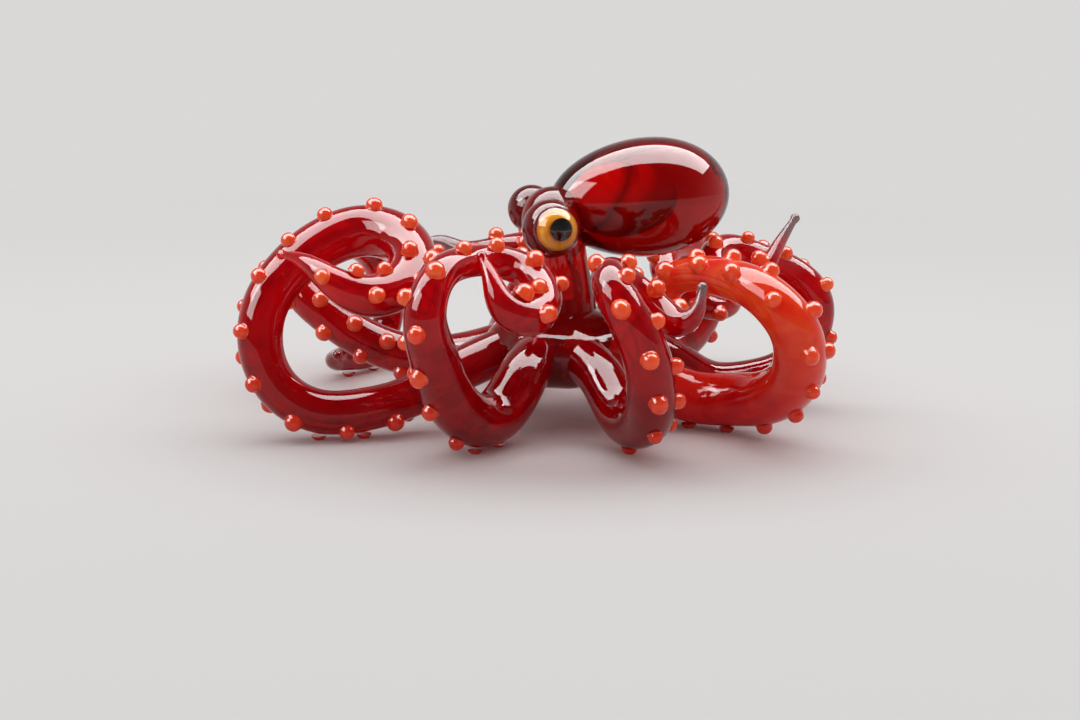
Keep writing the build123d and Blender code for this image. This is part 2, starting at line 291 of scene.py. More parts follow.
world = bpy.data.worlds.new("room")
bpy.context.scene.world = world
world.use_nodes = True
room_tree = world.node_tree
_, backwards, upwards = split(room_tree, coordinates(room_tree, "Generated"))
behind = run_between(room_tree, backwards, FRONT_EDGE, BACK_EDGE, FRONT_GLOW, BACK_GLOW)
ceiling = ramp(room_tree, upwards, [(level, (glow, glow, glow)) for level, glow in GLOW_BY_LEVEL])
room = blend(room_tree, 1.0, ceiling, behind, "MULTIPLY")
path = room_tree.nodes.new("ShaderNodeLightPath")
plain = maths(room_tree, "ADD", path.outputs["Is Camera Ray"], path.outputs["Diffuse Depth"])
plain.node.use_clamp = True
seen = blend(room_tree, plain, room, PLAIN_COLOUR)
feed(room_tree, room_tree.nodes["Background"], {"Color": seen, "Strength": 1.0})
print("the room is lit")

# %% [markdown]
# ## The lamps
# One wide soft lamp overhead lights everything evenly. A photographer of glass adds panels whose only
# task is to be mirrored: a long one overhead draws the band along the mantle and every arm, and a small
# one to the left draws the narrow bands there. So these two are seen in reflections, but add no light.

# %% Hang the lamps
def soft_lamp(name, where, at, size, power, only_gloss=False, spin=0.0):
    """A rectangular lamp that faces a point, spun round its own axis by an angle in degrees. Size is its
    width and its height in metres. A lamp that is only for gloss is seen in reflections, but adds no
    light of its own."""
    data = bpy.data.lights.new(name, "AREA")
    data.shape = "RECTANGLE"
    data.size, data.size_y = size
    data.energy = power
    lamp = bpy.data.objects.new(name, data)
    away = Vector(where) - Vector(at)
    facing = away.to_track_quat("Z", "Y").to_matrix().to_4x4()
    lamp.matrix_world = Matrix.Translation(where) @ facing @ Matrix.Rotation(np.radians(spin), 4, "Z")
    lamp.visible_glossy = only_gloss
    lamp.visible_diffuse = not only_gloss
    lamp.visible_transmission = not only_gloss
    bpy.context.scene.collection.objects.link(lamp)


FIGURE = (0.0, 0.0, 0.02)
soft_lamp("overhead_lamp", where=(0.0, 0.045, 0.30), at=FIGURE, size=(0.90, 0.30), power=0.95)
soft_lamp("overhead_panel", where=(-0.05, 0.040, 0.30), at=(-0.05, 0.040, 0.0), size=(0.95, 0.25),
          power=9.2, only_gloss=True, spin=9.0)
soft_lamp("left_panel", where=(-0.31, -0.17, 0.235), at=FIGURE, size=(0.26, 0.24), power=2.0,
          only_gloss=True)
bpy.context.scene.view_settings.view_transform = "Standard"

# %% [markdown]
# ## The ruby glass
# Ruby glass is clear glass that swallows green and blue. A coat of red paint could not show that a thin
# tip is paler and a thick rod nearly wine red, so the volume takes light away: blue fastest, then green,
# and red least. The metal that colours the real glass also makes it a little cloudy, so a share of the
# shader is plain red, more of it in the arms, which were reheated often, than in the mantle.

# %% Mix a glass
# Faint streaks in the colour: how many in a metre, how detailed and how wrung.
STREAKS = (160.0, 2.0, 1.5)
# Slow waves of a surface that a flame has smoothed: how many in a metre and how detailed.
WAVES = (140.0, 1.0)
POLISHED = 0.015


def glass_body(name, density, colour, clear_share, ior=1.42, gloss=0.35, wave_height=0.00003):
    """A glass that still needs its base colour. Its volume absorbs density * (1 - colour) per metre."""
    material, tree, shader, output = new_material(name)
    feed(tree, shader, {
        "Roughness": POLISHED,
        "IOR": ior,
        "Specular IOR Level": gloss,
        "Transmission Weight": clear_share,
    })
    add_bump(tree, shader, noise(tree, *WAVES), wave_height)
    absorb = tree.nodes.new("ShaderNodeVolumeAbsorption")
    feed(tree, absorb, {"Color": (*colour, 1.0), "Density": density})
    feed(tree, output, {"Volume": absorb.outputs["Volume"]})
    return material, tree, shader


def streaked(tree, streaks, shades):
    """A colour that runs from one shade to another with the streaks."""
    return ramp(tree, streaks, [(0.32, shades[0]), (0.68, shades[1])])


def glass(name, shades, **body):
    """A glass body with streaks between two shades as its base colour."""
    material, tree, shader = glass_body(name, **body)
    feed(tree, shader, {"Base Color": streaked(tree, noise(tree, *STREAKS), shades)})
    return material


RUBY_DENSITY = 1000.0
RUBY_COLOUR = (0.89, 0.20, 0.12)
SAMPLE_THICKNESS = 0.003
ruby = glass(
    "ruby_glass",
    ((0.74, 0.006, 0.012), (0.90, 0.030, 0.025)),
    density=RUBY_DENSITY,
    colour=RUBY_COLOUR,
    clear_share=0.85,
)
kept_light = np.exp(-SAMPLE_THICKNESS * RUBY_DENSITY * (1 - np.array(RUBY_COLOUR)))
print("ruby glass keeps this share of red, green and blue over 3 mm:", np.round(kept_light, 3))

# %% [markdown]
# ## The glass of the arms
# Light reaches the tops of the curls from all round, and hardly reaches the rods near the table, so the
# real arms look bright red above and wine red below. The pale table would hide that, so that shade is
# painted into the colour, which runs with the height. One arm was pulled from a more opaque rod, and its
# brighter orange, strongest at the top, is painted light shining through it. Some tips were pulled so thin
# that hardly any red is left in them, and they look smoky and clear. An attribute marks them.

# %% Let the arms change colour on their way
# The painted shade is full at the first height and gone at the second.
LOW_GLASS = 0.003
HIGH_GLASS = 0.019
SMOKE_COLOUR = (0.34, 0.29, 0.31, 1.0)


def painted_shade_by_height(tree, low, high):
    """A painted shade: the colour low near the table and the colour high near the top, with an even run
    between them.
    """
    _, _, level = split(tree, coordinates(tree))
    return blend(tree, run_between(tree, level, LOW_GLASS, HIGH_GLASS), low, high)


def cloudy_glass(name, shaded_low_shades, lit_high_shades, clear_share):
    """Ruby glass with painted shade, from one pair of shades at the table to another at the top, which turns
    smoky where the attribute smoke goes from 0 to 1."""
    material, tree, shader = glass_body(name, RUBY_DENSITY, RUBY_COLOUR, clear_share)
    streaks = noise(tree, *STREAKS)
    red = painted_shade_by_height(tree, streaked(tree, streaks, shaded_low_shades), streaked(tree, streaks, lit_high_shades))
    smoke = tree.nodes.new("ShaderNodeAttribute")
    smoke.attribute_name = "smoke"
    feed(tree, shader, {"Base Color": blend(tree, smoke.outputs["Fac"], red, SMOKE_COLOUR)})
    return material


# Painted shade: wine red near the table, bright red near the top.
cloudy_ruby = cloudy_glass(
    "cloudy_ruby",
    shaded_low_shades=((0.40, 0.0, 0.004), (0.60, 0.003, 0.008)),
    lit_high_shades=((0.64, 0.0, 0.006), (0.92, 0.006, 0.013)),
    clear_share=0.64,
)
# Painted light: arm 4's brighter orange, strongest at the top, stands in for light shining through it.
painted_glow_ruby = cloudy_glass(
    "painted_glow_ruby",
    shaded_low_shades=((0.56, 0.0, 0.005), (0.80, 0.006, 0.010)),
    lit_high_shades=((0.94, 0.020, 0.008), (1.0, 0.095, 0.020)),
    clear_share=0.22,
)
print("glasses of the arms are ready")

# %% [markdown]
# ## The opaque dots
# The dots are coral glass, which lets no light through but glows a little just under its skin. Some
# subsurface scattering gives that. Their colour darkens towards the table, a painted shade as on the arms.

# %% Mix the coral glass
CORAL_CLOUDS = (260.0, 3.0)
CORAL_WAVES = (700.0, 1.0)
CORAL_WAVE_HEIGHT = 0.00004

coral, coral_tree, coral_shader, _ = new_material("coral_glass")
clouds = noise(coral_tree, *CORAL_CLOUDS)
# Painted shade: the coral runs from darker near the table to brighter near the top.
shaded_low_coral = ramp(coral_tree, clouds, [(0.3, (0.60, 0.014, 0.006)), (0.7, (0.76, 0.040, 0.012))])
lit_high_coral = ramp(coral_tree, clouds, [(0.3, (0.88, 0.042, 0.010)), (0.7, (0.98, 0.120, 0.024))])
feed(coral_tree, coral_shader, {
    "Base Color": painted_shade_by_height(coral_tree, shaded_low_coral, lit_high_coral),
    "Roughness": 0.12,
    "Subsurface Weight": 0.1,
    "Subsurface Radius": (0.0006, 0.0001, 0.00005),
    "Subsurface Scale": 1.0,
})
add_bump(coral_tree, coral_shader, noise(coral_tree, *CORAL_WAVES), CORAL_WAVE_HEIGHT)
print("coral glass is ready")

# %% [markdown]
# ## The routes of the arms
# Each arm is one rod that was pulled thinner and curled while it was soft. We write its route as a few
# places: how far out and sideways, how high its underside is, and how thick it is there. A natural cubic
# spline carries position and radius together through those places, so the taper is as smooth as the curl.

# %% Write down the routes
SPREAD = 0.040
RISE = 0.0215
ROD = 0.0032
KNOB = 0.00065
FOOT_HEIGHT = 0.0009
# Places along each arm after its root: X and Y as shares of SPREAD, the height of the rod's underside
# over the feet as a share of RISE, and the rod's radius as a share of ROD. Height 0 stands on a foot.
ARM_ROUTE_SHARES = {
    1: (
        (-0.36, -0.18, 0.16, 0.90),
        (-0.50, -0.26, 0.05, 0.86),
        (-0.63, -0.32, 0.00, 0.87),
        (-0.77, -0.35, 0.00, 0.87),
        (-0.89, -0.36, 0.13, 0.87),
        (-0.95, -0.35, 0.37, 0.89),
        (-0.94, -0.32, 0.60, 0.91),
        (-0.88, -0.24, 0.78, 0.95),
        (-0.78, -0.15, 0.91, 1.02),
        (-0.66, -0.11, 0.98, 1.05),
        (-0.54, -0.16, 0.96, 1.03),
        (-0.48, -0.28, 0.86, 0.97),
        (-0.52, -0.40, 0.76, 0.89),
        (-0.62, -0.48, 0.75, 0.80),
        (-0.71, -0.49, 0.86, 0.60),
        (-0.79, -0.44, 0.98, 0.36),
        (-0.88, -0.36, 1.04, 0.13),
    ),
    2: (
        (-0.13, -0.31, 0.18, 1.02),
        (-0.20, -0.40, 0.00, 1.06),
        (-0.27, -0.49, 0.00, 1.05),
        (-0.35, -0.60, 0.20, 1.00),
        (-0.39, -0.70, 0.48, 0.92),
        (-0.41, -0.75, 0.74, 0.79),
        (-0.38, -0.69, 0.93, 0.68),
        (-0.31, -0.57, 1.00, 0.61),
        (-0.22, -0.49, 0.99, 0.61),
        (-0.13, -0.50, 0.94, 0.67),
        (-0.07, -0.60, 0.82, 0.74),
        (-0.11, -0.71, 0.73, 0.75),
        (-0.18, -0.75, 0.82, 0.59),
        (-0.22, -0.72, 1.00, 0.34),
        (-0.25, -0.68, 1.14, 0.14),
    ),
    3: (
        (0.12, -0.28, 0.20, 0.95),
        (0.17, -0.37, 0.06, 0.97),
        (0.21, -0.46, 0.00, 0.99),
        (0.25, -0.56, 0.06, 0.98),
        (0.26, -0.67, 0.24, 0.95),
        (0.24, -0.75, 0.50, 0.90),
        (0.18, -0.77, 0.75, 0.82),
        (0.13, -0.72, 0.92, 0.73),
        (0.14, -0.63, 0.96, 0.65),
        (0.20, -0.58, 0.88, 0.61),
        (0.28, -0.61, 0.77, 0.60),
        (0.34, -0.67, 0.73, 0.54),
        (0.38, -0.70, 0.82, 0.33),
        (0.40, -0.68, 0.99, 0.14),
    ),
    4: (
        (0.29, -0.11, 0.12, 1.00),
        (0.42, -0.11, 0.00, 1.06),
        (0.54, -0.16, 0.00, 1.09),
        (0.64, -0.26, 0.05, 1.10),
        (0.71, -0.39, 0.20, 1.08),
        (0.72, -0.51, 0.42, 1.02),
        (0.68, -0.57, 0.64, 0.94),
        (0.60, -0.53, 0.80, 0.86),
        (0.50, -0.42, 0.87, 0.77),
        (0.41, -0.31, 0.87, 0.69),
        (0.34, -0.24, 0.80, 0.63),
        (0.32, -0.22, 0.69, 0.57),
        (0.36, -0.25, 0.61, 0.42),
        (0.40, -0.28, 0.67, 0.25),
        (0.41, -0.28, 0.77, 0.13),
    ),
    5: (
        (0.35, 0.11, 0.17, 0.92),
        (0.51, 0.17, 0.00, 0.91),
        (0.65, 0.21, 0.00, 0.88),
        (0.78, 0.22, 0.10, 0.84),
        (0.85, 0.21, 0.31, 0.81),
        (0.86, 0.20, 0.54, 0.78),
        (0.79, 0.20, 0.70, 0.76),
        (0.67, 0.21, 0.80, 0.73),
        (0.56, 0.19, 0.87, 0.70),
        (0.50, 0.10, 0.84, 0.65),
        (0.55, 0.01, 0.76, 0.56),
        (0.63, -0.01, 0.80, 0.45),
        (0.70, 0.05, 0.97, 0.30),
        (0.77, 0.12, 1.18, 0.14),
    ),
    6: (
        (0.18, 0.32, 0.17, 0.95),
        (0.27, 0.48, 0.00, 0.96),
        (0.38, 0.65, 0.00, 0.96),
        (0.49, 0.79, 0.10, 0.93),
        (0.55, 0.86, 0.34, 0.88),
        (0.52, 0.83, 0.59, 0.82),
        (0.45, 0.73, 0.73, 0.76),
        (0.38, 0.60, 0.72, 0.71),
        (0.38, 0.47, 0.60, 0.67),
        (0.47, 0.41, 0.48, 0.61),
        (0.58, 0.46, 0.44, 0.50),
        (0.62, 0.57, 0.52, 0.32),
        (0.58, 0.65, 0.64, 0.14),
    ),
    7: (
        (-0.10, 0.35, 0.18, 0.93),
        (-0.18, 0.52, 0.00, 0.94),
        (-0.21, 0.70, 0.00, 0.94),
        (-0.19, 0.85, 0.10, 0.91),
        (-0.13, 0.91, 0.35, 0.86),
        (-0.08, 0.85, 0.59, 0.81),
        (-0.08, 0.71, 0.72, 0.75),
        (-0.14, 0.58, 0.76, 0.69),
        (-0.25, 0.51, 0.77, 0.58),
        (-0.36, 0.52, 0.79, 0.43),
        (-0.44, 0.55, 0.86, 0.28),
        (-0.50, 0.56, 0.86, 0.15),
    ),
    8: (
        (-0.36, 0.17, 0.14, 0.93),
        (-0.54, 0.21, 0.13, 0.91),
        (-0.70, 0.23, 0.24, 0.88),
        (-0.83, 0.25, 0.40, 0.86),
        (-0.91, 0.30, 0.56, 0.83),
        (-0.88, 0.39, 0.74, 0.80),
        (-0.79, 0.50, 0.80, 0.77),
        (-0.70, 0.62, 0.70, 0.75),
        (-0.65, 0.71, 0.48, 0.72),
        (-0.64, 0.76, 0.21, 0.69),
        (-0.69, 0.69, 0.00, 0.65),
        (-0.77, 0.58, 0.00, 0.57),
        (-0.81, 0.47, 0.05, 0.42),
        (-0.79, 0.38, 0.16, 0.15),
    ),
}

# The middle of each curl, which the dots look away from, as shares of SPREAD, SPREAD and RISE.
CURL_MIDDLE_SHARES = {
    1: (-0.69, -0.31, 0.52),
    2: (-0.22, -0.60, 0.52),
    3: (0.17, -0.64, 0.55),
    4: (0.50, -0.28, 0.45),
    5: (0.69, 0.16, 0.48),
    6: (0.40, 0.64, 0.40),
    7: (-0.18, 0.70, 0.42),
    8: (-0.72, 0.45, 0.45),
}
print("places on each arm:", {n: len(rows) for n, rows in ARM_ROUTE_SHARES.items()})

# %% [markdown]
# ## Curves through the places
# Every arm starts in the hub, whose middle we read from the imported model, at an even turn from its
# neighbours. From there its spline runs through its places. The curves are those of the solids, so that
# the skins of glass lie where the solids are.

# %% Find the middle of the arms
HUB_LEVEL = 0.0100
HUB_RADIUS = 0.0104
HUB_HALF_HEIGHT = 0.0056
ROOT_RING = 0.0068
ROOT_ROD = 0.0030
FIRST_ROOT_TURN = 195.0
ROOT_TURN = 360.0 / len(ARM_ROUTE_SHARES)
hub_low, hub_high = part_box("hub")
middle = np.array(((hub_low.x + hub_high.x) / 2, (hub_low.y + hub_high.y) / 2, 0.0))
print("the arms grow round", np.round(middle, 5))


# %% Carry a spline through the places
SPAN_STEPS = 24


def spline(rows):
    """The natural cubic spline through rows: on each span a cubic whose second derivative is a straight
    line between the bends at its two ends, with the distance between places as the parameter."""
    rows = np.array(rows, float)
    step = np.linalg.norm(np.diff(rows[:, :3], axis=0), axis=1)
    slope = np.diff(rows, axis=0) / step[:, None]
    inner = np.arange(1, len(rows) - 1)
    matrix = np.eye(len(rows))
    matrix[inner, inner - 1] = step[:-1]
    matrix[inner, inner] = 2 * (step[:-1] + step[1:])
    matrix[inner, inner + 1] = step[1:]
    change = np.zeros_like(rows)
    change[inner] = 6 * (slope[1:] - slope[:-1])
    bend = np.linalg.solve(matrix, change)
    share = (np.arange(SPAN_STEPS) / SPAN_STEPS)[None, :, None]
    line = (1 - share) * rows[:-1, None] + share * rows[1:, None]
    first = ((1 - share) ** 3 - (1 - share)) * bend[:-1, None]
    last = (share**3 - share) * bend[1:, None]
    curve = line + (first + last) * step[:, None, None] ** 2 / 6
    return np.vstack((curve.reshape(-1, rows.shape[1]), rows[-1:]))


def even_places(curve, pitch):
    """Places about a pitch apart along a curve: their distance from its start, their position and
    radius, and the direction that the curve runs in there."""
    run = np.linalg.norm(np.diff(curve[:, :3], axis=0), axis=1)
    along = np.concatenate(([0.0], np.cumsum(run)))
    wanted = np.linspace(0.0, along[-1], round(along[-1] / pitch) + 1)
    spots = np.array([np.interp(wanted, along, column) for column in curve.T]).T
    heading = np.gradient(curve[:, :3], axis=0)
    heading = np.array([np.interp(wanted, along, column) for column in heading.T]).T
    return wanted, spots, heading / np.linalg.norm(heading, axis=1)[:, None]


def arm_curve(number):
    """The spline of one arm, from its root in the hub to its tip."""
    turn = np.radians(FIRST_ROOT_TURN + (number - 1) * ROOT_TURN)
    shares = np.array(ARM_ROUTE_SHARES[number])
    radius = shares[:, 3] * ROD
    level = FOOT_HEIGHT + radius + shares[:, 2] * RISE
    rows = np.column_stack((shares[:, 0] * SPREAD, shares[:, 1] * SPREAD, level, radius))
    root = (ROOT_RING * np.cos(turn), ROOT_RING * np.sin(turn), HUB_LEVEL, ROOT_ROD)
    rows = np.vstack((root, rows))
    rows[:, :3] += middle
    return spline(rows)


MILLIMETRE = 0.001
CURVES = {n: arm_curve(n) for n in ARM_ROUTE_SHARES}
lengths = {n: round(even_places(c, MILLIMETRE)[0][-1] / MILLIMETRE) for n, c in CURVES.items()}
print("arm lengths in mm:", lengths)

# %% [markdown]
# ## The arms
# A circle is carried along the route. Its frame must not spin round the rod on the way, or the ripples
# of the glass would look wrung, so each frame is the one before it, turned only as much as the route
# turns. The rod ends in a small melted ball, a little thicker than the pulled tip that it closes. A torch
# never leaves a rod quite even, so its radius swells and shrinks by about one percent.

# %% Carry a circle along a curve
ROUND = 32
RING_PITCH = 0.0006
# A long and a short wave along the rod, in metres per radian, with the short one's share and phase.
LONG_WAVE = 0.0041
SHORT_WAVE = 0.0023
SHORT_SHARE = 0.6
SHORT_PHASE = 2.1
CALM_ROOT = 0.01
BALL_RINGS = 7
BALL_END = np.radians(84.0)


def untwisted_sides(heading):
    """For each direction along a route, a side at a right angle to it that never spins: the side before
    it, less what of it now points ahead."""
    side = np.cross(heading[0], (0.0, 0.0, 1.0))
    sides = np.empty_like(heading)
    for i, forward in enumerate(heading):
        side = side - forward * (side @ forward)
        side = side / np.linalg.norm(side)
        sides[i] = side
    return sides


def rod_rings(curve, end_radius, swell=0.0, phase=0.0):
    """Rings along a curve: centre + radius * (cos a * side + sin a * other side), with the curve's radius
    times 1 + swell * waves. The ball round the curve's end starts at the angle whose cosine is the rod's
    radius over the ball's, where the two are equally thick, and a ring of it has ball * cos angle."""
    along, spots, heading = even_places(curve, RING_PITCH)
    side = untwisted_sides(heading)
    other = np.cross(heading, side)
    waves = np.sin(along / LONG_WAVE + phase) + SHORT_SHARE * np.sin(along / SHORT_WAVE + SHORT_PHASE * phase)
    radius = spots[:, 3] * (1 + swell * waves * np.clip(along / CALM_ROOT, 0, 1))
    ball = max(end_radius, radius[-1])
    start = -np.arccos(radius[-1] / ball)
    close = np.linspace(start, BALL_END, BALL_RINGS + 1)[1:]
    rod = along <= along[-1] + ball * np.sin(start)
    centre = np.vstack((spots[rod, :3], spots[-1, :3] + np.sin(close)[:, None] * ball * heading[-1]))
    radius = np.concatenate((radius[rod], ball * np.cos(close)))
    side = np.vstack((side[rod], np.repeat(side[-1:], len(close), 0)))
    other = np.vstack((other[rod], np.repeat(other[-1:], len(close), 0)))
    angle = np.arange(ROUND) * 2 * np.pi / ROUND
    circle = np.cos(angle)[None, :, None] * side[:, None] + np.sin(angle)[None, :, None] * other[:, None]
    return centre[:, None] + radius[:, None, None] * circle


# %% Make the arms
# The arm whose glass has painted light shining through it.
PAINTED_GLOW_ARM = 4
SWELL = 0.006
# How far from its end each tip is smoky, in metres. The other tips stay red to the end.
SMOKY_TIP = {3: 0.004, 5: 0.008, 7: 0.014}
NO_SMOKE = 1e-6
# The smoke is full near the end, because it is cut off at 1 on its way up to this.
SMOKE_TOP = 1.3


def add_smoke(piece, points, curve, reach):
    """The attribute smoke on each point: 1 at the arm's end, and 0 from reach away from it."""
    far = np.linalg.norm(points - curve[-1, :3], axis=1)
    smoke = np.clip(SMOKE_TOP - SMOKE_TOP * far / reach, 0, 1)
    piece.data.attributes.new("smoke", "FLOAT", "POINT").data.foreach_set("value", smoke.astype(np.float32))


for number, curve in CURVES.items():
    points, quads, fans = capped_ring_mesh(rod_rings(curve, KNOB, SWELL, number))
    own_glass = painted_glow_ruby if number == PAINTED_GLOW_ARM else cloudy_ruby
    arm = make_piece(f"ruby_arm_{number}", points, quads, fans, own_glass, [f"arm_{number}"], "ruby_glass")
    add_smoke(arm, points, curve, SMOKY_TIP.get(number, NO_SMOKE))
print("arms made:", len(CURVES))

# %% [markdown]
# ## The suckers
# The maker touches the hot tip of a coral rod to the arm and pulls it away, again and again, in two
# staggered rows. Each dot is a dome a little more than half a ball high, and its foot runs out in a
# small fillet where the two glasses melted together. We make one dot and copy it as whole arrays.

# %% Shape one dot
# The outline of a dot as (distance from its axis, height), in shares of its radius, from its foot up.
DOT_OUTLINE = np.array((
    (1.14, -0.40), (1.06, -0.28), (0.99, -0.12), (1.00, 0.08), (0.92, 0.39), (0.66, 0.74), (0.25, 0.95)))
DOT_SIDES = 12

dot_turn = np.arange(DOT_SIDES) * 2 * np.pi / DOT_SIDES
reach, level = DOT_OUTLINE[:, :1], DOT_OUTLINE[:, 1:]
dot_rings = np.stack(np.broadcast_arrays(reach * np.cos(dot_turn), reach * np.sin(dot_turn), level), -1)
DOT = capped_ring_mesh(dot_rings)
print("faces of a dot:", len(DOT[1]) + len(DOT[2]))

# %% [markdown]
# ## The places of the dots
# The dots follow the same rule as the solids that they stand for. Two rows run along the outside of each
# curl, turned to the left and the right of it by turns. A dot is left out where it would meet another
# arm, a foot or the table, just as the maker finds no room for one there.

# %% Find the places of the dots
SUCKER = 0.00105
SUCKER_PITCH = 0.0056
SUCKER_LIFT = 0.00025
SEAM = 0.00014
ROW_TURN = 38.0
BARE_ROOT = 0.015
BARE_TIP = 0.006
OWN_STRETCH = 0.0042
SEAT_REACH = 0.0017
# Every arm in fine steps, against which the room round a dot is measured.
PLACES = {n: even_places(curve, SUCKER / 2) for n, curve in CURVES.items()}


def feet_of(number):
    """The places on the table under the rods that an arm stands on."""
    shares = np.array(ARM_ROUTE_SHARES[number])
    stands = shares[shares[:, 2] == 0]
    level = np.full(len(stands), FOOT_HEIGHT)
    return np.column_stack((stands[:, 0] * SPREAD, stands[:, 1] * SPREAD, level)) + middle


def room_round(centre, number, distance):
    """How far a point is from every rod, apart from the stretch of its own arm round a distance."""
    room = np.inf
    for other, (along, spots, _) in PLACES.items():
        free = np.linalg.norm(spots[:, :3] - centre, axis=1) - spots[:, 3]
        if other == number:
            free = free[abs(along - distance) > OWN_STRETCH]
        room = min(room, free.min())
    return room


def dot_places(number):
    """The middles and directions of the dots of one arm, and how thick the rod is there: from each place
    on the route out to the rod's surface, away from the middle of the curl, turned to the left and the
    right of it by turns."""
    curl = np.array(CURL_MIDDLE_SHARES[number]) * (SPREAD, SPREAD, RISE) + middle
    feet = feet_of(number)
    along, spots, heading = even_places(CURVES[number], SUCKER_PITCH / 2)
    own_along, own_spots, _ = PLACES[number]
    centres, outwards, forwards, rods = [], [], [], []
    for i in np.flatnonzero((along >= BARE_ROOT) & (along <= along[-1] - BARE_TIP)):
        spot, forward = spots[i, :3], heading[i]
        outward = spot - curl
        outward = outward - forward * (outward @ forward)
        outward /= np.linalg.norm(outward)
        turn = np.radians(ROW_TURN if i % 2 else -ROW_TURN)
        outward = outward * np.cos(turn) + np.cross(forward, outward) * np.sin(turn)
        gap = own_spots[:, :3] - spot
        near = (abs(own_along - along[i]) < OWN_STRETCH) & (abs(gap @ forward) < SEAT_REACH)
        seat = (gap @ outward + own_spots[:, 3])[near].max()
        centre = spot + outward * (seat + SEAM + SUCKER_LIFT)
        crowded = (np.linalg.norm(feet - centre, axis=1) < 2 * SUCKER + SEAM).any()
        room = room_round(centre, number, along[i])
        if not crowded and centre[2] >= SUCKER and room >= SUCKER + SEAM:
            centres.append(centre - outward * SEAM)
            outwards.append(outward)
            forwards.append(forward)
            rods.append(spots[i, 3])
    return np.array(centres), np.array(outwards), np.array(forwards), np.array(rods)


print("places measured on each arm:", {n: len(along) for n, (along, _, _) in PLACES.items()})

# %% [markdown]
# ## Dots on rods
# No two dots come out alike, so each gets its own size, length and height, thrown with a fixed seed. On
# a thin rod a round foot would stand off at its sides. So we bend it down over the rod, by as much as a
# circle of the rod's radius falls away from its top.

# %% Put the dots on the arms
DOT_SIZES = (0.86, 1.10)
DOT_LENGTHS = (0.96, 1.10)
DOT_HEIGHTS = (0.84, 0.98)
# Below this height, in shares of its radius, a dot starts to bend, and bends fully this far below it.
SADDLE_TOP = 0.30
SADDLE_DEPTH = 0.5
# Past the side of a very thin rod, the square of the circle's height stays at this.
LEAST_SQUARE = 0.05
SEED = 8

dice = np.random.default_rng(SEED)
total = 0
points, quads, fans = DOT
saddle = np.clip((SADDLE_TOP - points[:, 2]) / SADDLE_DEPTH, 0, 1)
for number in CURVES:
    centres, outward, forward, rod = dot_places(number)
    size = SUCKER * dice.uniform(*DOT_SIZES, len(centres))
    long = dice.uniform(*DOT_LENGTHS, len(centres))
    flat = dice.uniform(*DOT_HEIGHTS, len(centres))
    own_points = np.repeat(points[None], len(centres), 0)
    own_rod = (rod / size)[:, None]
    own_points[:, :, 2] -= saddle * (
        own_rod - np.sqrt(np.maximum(own_rod**2 - points[:, 1] ** 2, LEAST_SQUARE)))
    sideways = np.cross(outward, forward)
    turns = np.stack(
        (forward * (size * long)[:, None], sideways * size[:, None], outward * (size * flat)[:, None]), -1)
    dots = many(own_points, quads, fans, turns, centres)
    make_piece(f"coral_dots_{number}", *dots, coral, [f"arm_{number}_suckers"], "coral_glass")
    total += len(centres)
print("dots:", total)

# %% [markdown]
# ## The feet
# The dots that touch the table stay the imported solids, because nothing may come between them and the
# table. They only need their glass.

# %% Give the feet their glass
for number in CURVES:
    foot = nodes[f"arm_{number}_feet"]
    foot.data.materials.clear()
    foot.data.materials.append(coral)

# %% [markdown]
# ## The hub
# The hub is the gather that all the arms were stuck to: a flattened ball. The torch pulled its rim out
# a little towards each root, so its radius has a small wave with one crest for each arm.

# %% Make the hub
# Its first and last rings lie this many degrees from its rim.
HUB_END = 88.0
HUB_ROWS = 45
HUB_COLUMN_TURN = 3.75
LOBE = 0.03

rows = np.radians(np.linspace(-HUB_END, HUB_END, HUB_ROWS))
columns = np.radians(np.arange(0.0, 360.0, HUB_COLUMN_TURN))
lobes = 1 + LOBE * np.cos(len(CURVES) * (columns - np.radians(FIRST_ROOT_TURN)))
hub_rings = np.stack(np.broadcast_arrays(
    HUB_RADIUS * np.cos(rows)[:, None] * np.cos(columns) * lobes,
    HUB_RADIUS * np.cos(rows)[:, None] * np.sin(columns) * lobes,
    HUB_HALF_HEIGHT * np.sin(rows)[:, None],
), -1) + middle + (0, 0, HUB_LEVEL)
make_piece("ruby_hub", *capped_ring_mesh(hub_rings), ruby, ["hub"], "ruby_glass")
print("hub made")

# %% [markdown]
# ## The neck
# The face sits over the hub, turned to the left of the picture. Everything on the head is laid out in
# the face's own axes: ahead along X, and up along Z. The neck is a short thick rod that leads there from
# the hub, and flares where it was melted on.

# %% Place the face
FACE_TURN = np.radians(195.0)
FACE_ROLL = np.radians(-7.0)
FACE_AHEAD = 0.0032
FACE_LEVEL = 0.0269
face_at = middle + (FACE_AHEAD * np.cos(FACE_TURN), FACE_AHEAD * np.sin(FACE_TURN), FACE_LEVEL)
FACE = Matrix.Translation(face_at) @ Matrix.Rotation(FACE_TURN, 4, "Z") @ Matrix.Rotation(FACE_ROLL, 4, "X")
print("face at", np.round(face_at, 4))


def moved(points, matrix):
    """Points turned and moved by a 4 x 4 matrix, all at once."""
    matrix = np.array(matrix)
    return points @ matrix[:3, :3].T + matrix[:3, 3]


# %% Make the neck
NECK_FOOT_RADIUS = 0.0044
NECK_RADIUS = 0.0031
HEAD_RADIUS = 0.0042

